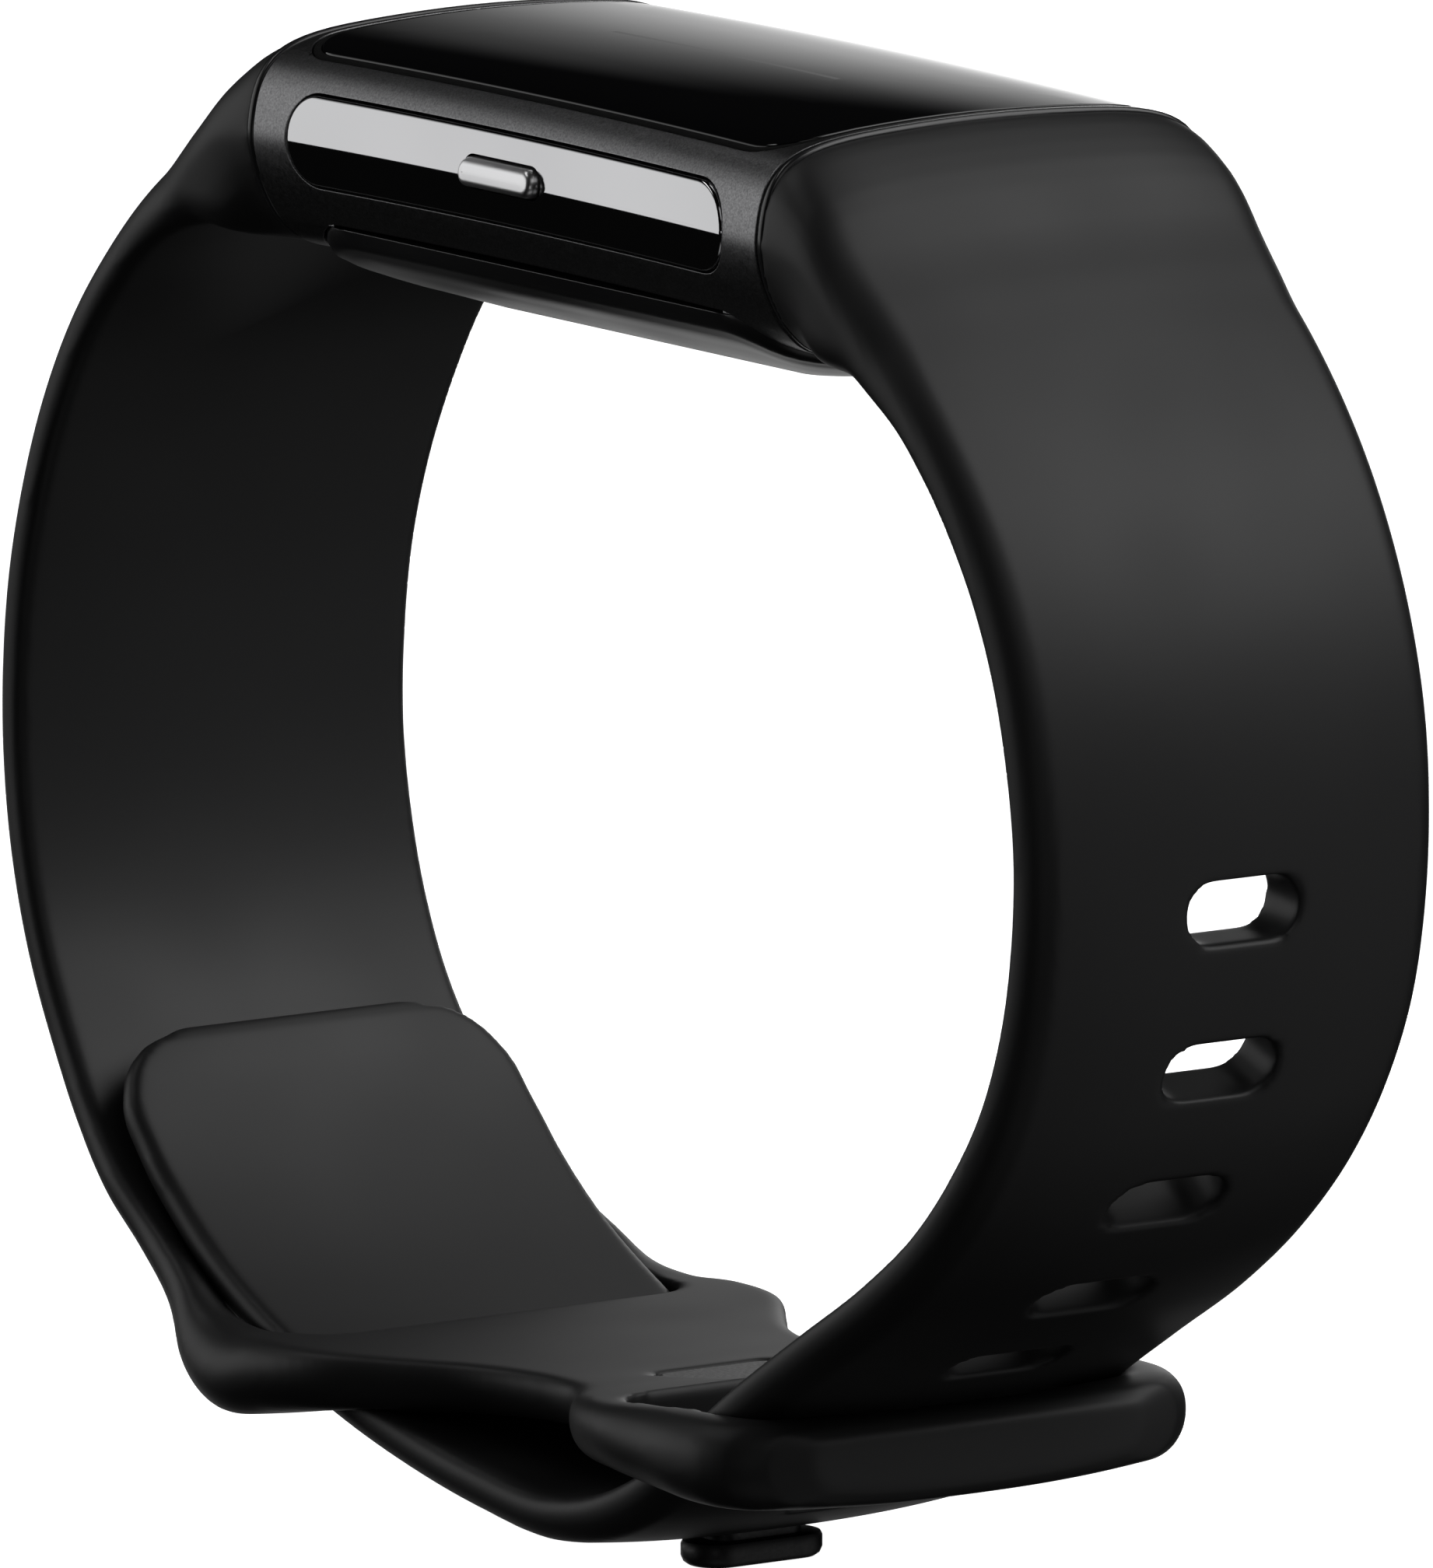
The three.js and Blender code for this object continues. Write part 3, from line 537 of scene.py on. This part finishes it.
INNER = {
    "rubber": RUBBER,
    "window_black": polished("window_black", (0.01, 0.006, 0.008), 0.05),
    "display_panel": polished("display_panel", (0.01, 0.01, 0.013), 0.1),
    "inner_plastic": grained("inner_plastic", (0.03, 0.03, 0.03), (0.05, 0.05, 0.05), 5.0, 0.5, 0.2),
    "board": grained("board", (0.01, 0.09, 0.04), (0.02, 0.14, 0.07), 2.5, 0.4, 0.3),
    "chip": grained("chip", (0.03, 0.03, 0.032), (0.06, 0.06, 0.065), 8.0, 0.5, 0.3),
    "steel": grained("steel", (0.42, 0.42, 0.43), (0.62, 0.62, 0.63), 6.0, 0.3, 0.1, 1.0, (0.1, 1, 1)),
    "gold": grained("gold", (0.65, 0.45, 0.16), (0.83, 0.62, 0.28), 4.0, 0.25, 0.05, 1.0),
    "battery_foil": grained("battery_foil", (0.45, 0.46, 0.48), (0.62, 0.63, 0.65), 0.9, 0.35, 0.4, 1.0),
    "flex": grained("flex", (0.3, 0.13, 0.03), (0.5, 0.26, 0.07), 3.0, 0.4, 0.1),
    "case_metal": CASE_METAL,
    "gloss_black": GLOSS,
}


# ---- bands ----
def arc_points(centre, radius, start, end, count):
    out = []
    for i in range(count):
        a = math.radians(start + (end - start) * i / (count - 1))
        out.append((centre[0] + radius * math.cos(a), centre[1] + radius * math.sin(a)))
    return out


def band_half(half, thick):
    """Half of a band's section, [across, along the normal], with HALF_POINTS points."""
    outer = min(thick * 0.56, 1.9)
    inner = min(thick * 0.24, 0.6) + smoothstep((thick - 2.8) / 1.4)
    top = thick / 2
    crown = 0.16 * min(thick, 2.6)
    shoulder = half - outer
    out = []
    for i in range(12):
        t = i / 12
        out.append((shoulder * t, top - crown * t ** 2.5))
    out += arc_points((shoulder, top - crown - outer), outer, 90, 0, 13)
    side = -2 * top + crown + outer + inner
    out += [(half, top - crown - outer + side * i / 4) for i in (1, 2, 3)]
    out += arc_points((half - inner, -top + inner), inner, 0, -90, 7)
    remaining = HALF_POINTS - len(out)
    for i in range(1, remaining + 1):
        out.append(((half - inner) * (1 - i / remaining), -top))
    return out


def station_ring(row, blend):
    """A band's section at a station: the case's outline where blend is 0, its own where it is 1."""
    x, z, angle, thick, half = row[:5]
    nx, nz = math.cos(math.radians(angle)), math.sin(math.radians(angle))
    scale = thick / CASE_HEIGHT
    ring = []
    for (y, n), (case_y, case_z) in zip(mirror_half(band_half(half, thick)), CASE_OUTLINE):
        across = case_y + (y - case_y) * blend
        lug = (case_z - CASE_MIDDLE_Z) * scale
        along = lug + (n - lug) * blend
        ring.append((x + nx * along, across, z + nz * along))
    return ring


RINGS = 190


def band(name, stations, grow=0.0):
    """A band over its stations. A grown one is the tool that clears its way."""
    first = stations[0]
    rows = [(*row[:3], row[3] + 2 * grow, row[4] + grow, i) for i, row in enumerate(stations)]
    if abs(first[0]) == LUG_X:
        rows.insert(0, (math.copysign(SEAM_START + 0.1, first[0]), first[1], 90, first[3], first[4], -0.4))
    rings = []
    for row in through(rows, RINGS):
        blend = 1.0 if grow else smoothstep(row[5] / LUG_STATIONS)
        rings.append(station_ring(row, blend))
    return loft(name, rings)


def through_prism(x, z, angle, half_along, half_across, corner, depth):
    """A rounded prism that stands along a band's normal at (x, z)."""
    nx, nz = math.cos(math.radians(angle)), math.sin(math.radians(angle))

    def place(u, v, w):
        return (x + nz * u + nx * w, v, z - nx * u + nz * w)
    return prism("tool", half_along, half_across, corner, -depth / 2, depth / 2, place)


def upright(u, v, w):
    return (u, v, w)


def moved_prism(half_u, half_v, corner, low, high, x=0.0, y=0.0):
    return prism("tool", half_u, half_v, corner, low, high, lambda u, v, w: (u + x, v + y, w))


def slot_tools():
    """Prisms for the slots, evenly spaced along the band on both sides of the peg."""
    rows = through(SLOTTED_STATIONS, PATH_STEPS)
    at = np.concatenate([[0], np.cumsum(np.linalg.norm(np.diff(rows[:, :2], axis=0), axis=1))])
    under = [s for s, row in zip(at, rows) if row[1] < -20 and row[0] > PEG["x"]][-1]
    tools = []
    for k in range(-SLOTS_PAST_PEG, SLOTS_BEFORE_PEG + 1):
        i = int(np.searchsorted(at, under - k * PEG["pitch"]))
        x, z, angle = rows[i][:3]
        tools.append(through_prism(x, z, angle, SLOT["along"], SLOT["across"], SLOT["corner"],
                                   SLOT["depth"]))
    return tools


VOXEL = 0.22
SMOOTHING = 5


def button_pocket(side):
    """The pocket in a band's underside that its release button is pressed into."""
    pocket = BUTTON_POCKET
    return moved_prism(pocket["u"], pocket["v"], 0.2, pocket["low"], pocket["high"], x=side * pocket["x"])


def slotted_strap():
    strap = band("slotted_band", SLOTTED_STATIONS)
    cut(strap, *slot_tools())
    softened(strap, VOXEL, SMOOTHING)
    cut(strap, button_pocket(1))
    return kept(strap, SILICONE, "silicone", "slotted_strap")


def loop_strap():
    strap = band("loop_band", LOOP_STATIONS)
    tail = TAIL_OPENING
    end = END_OPENING
    cut(
        strap,
        through_prism(tail["x"], tail["z"], tail["angle"], tail["along"], tail["across"],
                      OPENING_CORNER, 16),
        moved_prism(end["u"], end["v"], OPENING_CORNER, CLASP_LOW, CLASP_TOP + 5, x=end["x"]),
    )
    cut(strap, band("tool", SLOTTED_STATIONS[CROSSING:], BAND_GAP))
    room = PEG_ROOM
    hole = SHANK_HOLE
    cut(
        strap,
        moved_prism(room["u"], room["v"], room["corner"], room["low"], CLASP_TOP, x=PEG["x"]),
        moved_prism(hole["u"], hole["v"], hole["corner"], CLASP_LOW, CLASP_TOP, x=PEG["x"]),
    )
    softened(strap, VOXEL, SMOOTHING)
    cut(strap, button_pocket(-1))
    return kept(strap, SILICONE, "silicone", "loop_strap")


def peg():
    """The peg's base plate lies in the bridge; its mushroom head shows under the strap."""
    def at_peg(u, v, w):
        return (u + PEG["x"], v, w)
    base = {"u": 3.0, "v": 3.1, "corner": 0.8}
    plate_profile = [(0.3, -22.75), (0.0, -22.6), (0.0, -22.3), (0.06, -22.19), (0.2, -22.15)]
    parts = [plate("peg_base", base, plate_profile, at_peg)]
    head = {"u": 1.5, "v": 3.3, "corner": 1.45}
    head_profile = [(0.35, -28.85), (0.08, -28.9), (0.0, -29.05), (0.0, -29.55), (0.1, -29.78),
                    (0.3, -29.92), (0.6, -29.95)]
    parts.append(plate("peg_head", head, head_profile, at_peg))
    shank = {"u": 0.95, "v": 2.3, "corner": 0.9}
    parts.append(plate("peg_shank", shank, [(0.0, -29.0), (0.0, -22.6)], at_peg))
    for i, part in enumerate(parts):
        kept(part, PEG_PLASTIC, "peg_plastic", *(["peg"] if i == 0 else []), sharp=50)


# ---- case ----
def panel_place(side):
    """Puts (u, v, depth) on a side panel, which is a little flatter than the case round it."""
    middle = (PANEL["low"] + PANEL["high"]) / 2
    proud = side_reach(middle)

    def place(u, v, w):
        reach = proud - v ** 2 / (2 * PANEL_RADIUS)
        return (u, side * (reach - w), v + middle)
    return place


def key_place(u, v, w):
    """Puts (u, v) on the key's centre line, at a depth w across the case."""
    return (u, w, v + KEY["z"])


def case_body():
    """The hollow metal case, milled out for the glass, cover, panels, key and the parts inside."""
    outline = mirror_half(case_half(2 * HALF_POINTS))
    stops = np.linspace(-CASE_END, CASE_END, 21)
    body = loft("case_body", [[(x, y, z) for y, z in outline] for x in stops])
    gap = 0.1
    mid = (PANEL["low"] + PANEL["high"]) / 2
    half = (PANEL["high"] - PANEL["low"]) / 2
    tools = [
        moved_prism(GLASS["u"] + 0.4, GLASS["v"] + 0.4, GLASS["corner"] + 0.3, GLASS["bottom"], ABOVE_CASE),
        moved_prism(COVER["u"] + gap, COVER["v"] + gap, COVER["corner"], BELOW_CASE, COVER["rim"] + gap),
        moved_prism(CAVITY["u"], CAVITY["v"], 2.5, CAVITY["low"], CAVITY["high"]),
        moved_prism(CAVITY["u"], CAVITY["v"] - 0.2, 2.4, CAVITY["ledge"], ABOVE_CASE),
        prism("tool", KEY["u"] + 0.2, KEY["v"] + 0.2, 0.8, KEY_STEM["out"], -8, key_place),
    ]
    for side in (-1, 1):
        low, high = sorted((side * PANEL["inner"], side * 13))
        tools.append(prism("tool", PANEL["u"] + gap, half + gap, PANEL["corner"] + gap, low, high,
                           lambda u, v, w: (u, w, v + mid)))
    cut(body, *tools)
    bevelled(body, CASE_BEVEL)
    return kept(body, CASE_METAL, "case_metal", "case_frame", sharp=35, arch=True)


def crown_place(u, v, w):
    return (u, v, crown_height(v) - w)


def glass():
    profile = [(0.1, 1.6), (0.0, 1.5), (0.0, 0.1), (0.015, 0.04), (0.05, 0.01)]
    profile += [(0.1 + (GLASS["v"] - 0.25) * i / 27, 0.0) for i in range(28)]
    lens = plate("glass_lens", GLASS, profile, crown_place)
    kept(lens, GLASS_BLACK, "display_glass", "display_glass", sharp=60, arch=True)
    outer = {"u": GLASS["u"] + GASKET_WIDTH, "v": GLASS["v"] + GASKET_WIDTH,
             "corner": GLASS["corner"] + 0.25}
    rings = []
    for inset, depth in [(0.0, 1.3), (0.0, 0.07), (0.03, 0.04), (0.3, 0.04), (0.33, 0.07), (0.33, 1.3)]:
        ring = rounded_rect(outer["u"] - inset, outer["v"] - inset, outer["corner"] - inset)
        rings.append([crown_place(u, v, depth) for u, v in ring])
    gasket = loft("glass_gasket", rings, ring_closed=True)
    kept(gasket, RUBBER, "rubber", "display_gasket", sharp=60, arch=True)


def side_panel(side):
    """A polished panel; the one on the key's side has an opening for it."""
    outline = {"u": PANEL["u"], "v": (PANEL["high"] - PANEL["low"]) / 2, "corner": PANEL["corner"]}
    profile = [(0.0, 1.4), (0.0, 0.14), (0.03, 0.07), (0.07, 0.025), (0.13, 0.0)]
    profile += [(0.13 + 1.77 * i / 16, 0.0) for i in range(1, 17)]
    name = "side_panel_key" if side < 0 else "side_panel_plain"
    panel = plate("mirror_" + name, outline, profile, panel_place(side))
    if side < 0:
        cut(panel, prism("tool", KEY["u"] + 0.12, KEY["v"] + 0.12, 0.74, -13, -9, key_place))
    return kept(panel, MIRROR, "side_mirror", name, sharp=40, arch=True)


def side_key():
    """The key's rounded cap, and the stem behind it that goes through the case."""
    outline = {"u": KEY["u"], "v": KEY["v"], "corner": 0.6}
    profile = [(0.0, KEY["depth"])]
    profile += [(0.34 * (1 - math.cos(a)), 0.4 * (1 - math.sin(a))) for a in np.linspace(0, math.pi / 2, 9)]
    profile.append((0.58, -0.01))
    key = plate("key_cap", outline, profile,
                lambda u, v, w: (u, w - KEY["face"] + KEY_TILT * v, v + KEY["z"]))
    kept(key, KEY_METAL, "key_metal", "side_key", body="key", sharp=60, arch=True)
    stem = prism("key_stem", KEY_STEM["u"], KEY_STEM["v"], KEY_STEM["corner"], KEY_STEM["out"],
                 KEY_STEM["in"], key_place)
    return kept(stem, KEY_METAL, "key_metal", body="key", sharp=40, arch=True)


def back_cover():
    """The gloss cover: its rim follows the case's belly, then rounds into a flat at the bottom."""
    levels = [(0.0, 0.0, 0.0), (0.1, 0.03, 0.15), (0.31, 0.55, 0.8), (0.56, 1.6, 2.3),
              (0.73, 2.6, 3.6), (0.89, 3.8, 5.2), (1.0, 5.0, 6.4)]
    ring = rounded_rect(COVER["u"], COVER["v"], COVER["corner"])
    rims = [belly_height(v) for u, v in ring]
    rings = [[(u, v, COVER["rim"]) for u, v in ring]]
    for drop, du, dv in through(levels, 34):
        corner = COVER["corner"] - 0.35 * max(0.0, dv)
        ring = rounded_rect(COVER["u"] - max(0.0, du), COVER["v"] - max(0.0, dv), corner)
        drop = min(1.0, max(0.0, drop))
        rings.append([(u, v, rim + (COVER["bottom"] - rim) * drop) for (u, v), rim in zip(ring, rims)])
    cover = loft("cover_shell", rings)
    gap = 0.1
    window = moved_prism(WINDOW["u"] + gap, WINDOW["v"] + gap, WINDOW["corner"] + gap, BELOW_CASE,
                         WINDOW["top"] + gap)
    radius = CONTACT["radius"]
    contacts = [moved_prism(radius, radius, radius - 0.01, BELOW_CASE, 24.5, x=CONTACT["x"], y=y)
                for y in (-CONTACT["y"], CONTACT["y"])]
    cut(cover, window, *contacts)
    return kept(cover, GLOSS, "gloss_black", "back_cover", sharp=40)


def sensor_window():
    bottom = COVER["bottom"]
    profile = [(0.0, WINDOW["top"]), (0.0, bottom + 0.1), (0.03, bottom + 0.04), (0.1, bottom),
               (0.6, bottom)]
    window = plate("window_lens", WINDOW, profile, upright)
    return kept(window, INNER["window_black"], "window_black", "sensor_window", sharp=50)


def connector_rim(side):
    """The gloss edge of a band's connector, which shows between the case and the band."""
    name = "slotted_connector" if side > 0 else "loop_connector"
    middle = Vector((0, CASE_MIDDLE_Z))
    rings = []
    for x, inset in RIM_PROFILE:
        ring = []
        for y, z in CASE_OUTLINE:
            out = Vector((y, z)) - middle
            out *= 1 - inset / out.length
            ring.append((side * x, out.x + middle.x, out.y + middle.y))
        rings.append(ring)
    rim = loft("rim_" + name, rings)
    return kept(rim, RIM, "gloss_black", name, sharp=60)


def dress_cad_nodes():
    """Every CAD node that stays in view gets the material of its slot."""
    slots = {s["node"]: s["material_slot"] for s in frame["record"]["subparts"]}
    for name, node in frame["nodes"].items():
        material = INNER.get(slots[name], PEG_PLASTIC)
        for entry in node.material_slots:
            entry.link = "OBJECT"
            entry.material = material


# ---- studio ----
TARGET = Vector((-0.65, 0, 2.8)) * MM
AZIMUTH = 54.7
ELEVATION = 9.7
DISTANCE = 1.647
LENS = 900
SENSOR = 36
FLOOR_GAP = 0.0004


def toward(azimuth, elevation):
    """The direction from the object to something at that azimuth and elevation, in degrees."""
    around = math.radians(azimuth)
    up = math.radians(elevation)
    return Vector((math.sin(around) * math.cos(up), -math.cos(around) * math.cos(up), math.sin(up)))


def add_camera():
    camera = bpy.data.cameras.new("camera")
    camera.lens = LENS
    camera.sensor_fit = "VERTICAL"
    camera.sensor_height = SENSOR
    camera.sensor_width = SENSOR
    camera.clip_start = 0.05
    camera.clip_end = 20
    obj = bpy.data.objects.new("camera", camera)
    back = toward(AZIMUTH, ELEVATION)
    obj.location = TARGET + back * DISTANCE
    obj.rotation_euler = back.to_track_quat("Z", "Y").to_euler()
    bpy.context.scene.collection.objects.link(obj)
    bpy.context.scene.camera = obj


def softbox(name, azimuth, elevation, distance, size, radiance, soft=0.25, about=TARGET):
    """A rectangular light that faces a point. Its glow falls off over the soft part of each side:
    one share for all, or one each for left, right, bottom and top."""
    light = bpy.data.lights.new(name, "AREA")
    light.shape = "RECTANGLE"
    light.size, light.size_y = size
    light.energy = radiance * math.pi * size[0] * size[1]
    light.use_nodes = True
    tree = light.node_tree
    emission = tree.nodes["Emission"]
    shape_glow(tree, emission, soft if isinstance(soft, tuple) else (soft,) * 4)
    obj = bpy.data.objects.new(name, light)
    direction = toward(azimuth, elevation)
    obj.location = about + direction * distance
    obj.rotation_euler = direction.to_track_quat("Z", "Y").to_euler()
    obj.visible_camera = False
    bpy.context.scene.collection.objects.link(obj)
    return obj


def shape_glow(tree, emission, fades):
    """Fades a light's emission towards its left, right, bottom and top."""
    geometry = tree.nodes.new("ShaderNodeNewGeometry")
    split = tree.nodes.new("ShaderNodeSeparateXYZ")
    tree.links.new(geometry.outputs["Parametric"], split.inputs["Vector"])
    level = None
    for axis, ends, share in zip("XXYY", ((0, 1), (1, 0)) * 2, fades):
        fade = tree.nodes.new("ShaderNodeMapRange")
        fade.interpolation_type = "SMOOTHSTEP"
        fade.inputs["From Min"].default_value = ends[0]
        fade.inputs["From Max"].default_value = ends[0] + (ends[1] - ends[0]) * share
        tree.links.new(split.outputs[axis], fade.inputs["Value"])
        if level is None:
            level = fade.outputs["Result"]
            continue
        product = tree.nodes.new("ShaderNodeMath")
        product.operation = "MULTIPLY"
        tree.links.new(level, product.inputs[0])
        tree.links.new(fade.outputs["Result"], product.inputs[1])
        level = product.outputs["Value"]
    tree.links.new(level, emission.inputs["Strength"])


def add_floor():
    half = 3.0
    z = cad_box[0][2] - FLOOR_GAP
    corners = [(-half, -half, z), (half, -half, z), (half, half, z), (-half, half, z)]
    floor = new_object("floor", corners, [(0, 1, 2, 3)])
    m = shader("floor", (0.8, 0.8, 0.8), 0.9)
    bsdf = m.node_tree.nodes["Principled BSDF"]
    bsdf.inputs["Emission Color"].default_value = (1, 1, 1, 1)
    bsdf.inputs["Emission Strength"].default_value = 1.0
    floor.data.materials.append(m)
    floor.visible_glossy = False
    floor.visible_diffuse = False
    floor.visible_shadow = False


def add_world():
    world = bpy.data.worlds.new("studio")
    bpy.context.scene.world = world
    world.use_nodes = True
    tree = world.node_tree
    background = tree.nodes["Background"]
    background.inputs["Color"].default_value = (1, 1, 1, 1)
    path = tree.nodes.new("ShaderNodeLightPath")
    level = tree.nodes.new("ShaderNodeMapRange")
    level.inputs["To Min"].default_value = 0.003
    level.inputs["To Max"].default_value = 1.0
    tree.links.new(path.outputs["Is Camera Ray"], level.inputs["Value"])
    tree.links.new(level.outputs["Result"], background.inputs["Strength"])


def add_lights():
    case_side = Vector((0, -11, 29)) * MM
    cover_end = Vector((-12, -6, 23.5)) * MM
    belly = Vector((0, -4, 23)) * MM
    behind = AZIMUTH + 180
    around = math.radians(AZIMUTH)
    across = Vector((math.cos(around), math.sin(around), 0))
    glass_end = Vector((0, 0, 33.5)) * MM + across * 0.045
    # Each row: name, azimuth, elevation, distance, size and radiance, then softness and aim.
    # The side box is mirrored in the polished panel, above a level edge.
    softbox("side_box", -50, 16, 0.8, (1.0, 0.76), 1.0, soft=(0.01, 0.01, 0.01, 0.5), about=case_side)
    softbox("edge_strip", -54, 56, 0.8, (0.8, 0.12), 3.0, soft=0.3, about=case_side)
    # The glow behind is mirrored along the glass, and fades out towards the key's side.
    softbox("glass_glow", behind, -5, 0.15, (0.15, 0.12), 2.1, soft=0.48, about=glass_end)
    # Two more are mirrored in the back cover, and one in the key's rounded end.
    softbox("belly_glow", behind + 7, -22, 0.4, (0.46, 0.34), 0.5, soft=0.3, about=belly)
    softbox("cover_end_glow", behind + 7, -24, 0.02, (0.016, 0.009), 0.2, soft=0.4, about=cover_end)
    softbox("key_end_fill", 52, -9, 0.35, (0.16, 0.07), 1.0, soft=0.3, about=case_side)
    # The rest light the bands.
    softbox("top_right_box", 137, 42, 0.9, (0.8, 0.8), 3.0)
    softbox("top_box", 190, 62, 0.9, (0.7, 0.6), 1.0)
    softbox("front_fill", AZIMUTH + 20, 35, 1.2, (0.9, 0.8), 0.5)
    softbox("low_right_fill", 128, -12, 1.0, (1.5, 1.1), 0.36, soft=0.4)
    softbox("under_right_fill", 147, -45, 0.9, (1.0, 0.7), 0.28, soft=0.4)
    softbox("floor_bounce", 60, -50, 0.9, (1.0, 0.7), 0.25, soft=0.4)


slotted_strap()
loop_strap()
peg()
case_body()
glass()
side_panel(-1)
side_panel(1)
side_key()
back_cover()
sensor_window()
connector_rim(1)
connector_rim(-1)
dress_cad_nodes()
add_camera()
add_floor()
add_world()
add_lights()
bpy.context.scene.view_settings.view_transform = "Standard"
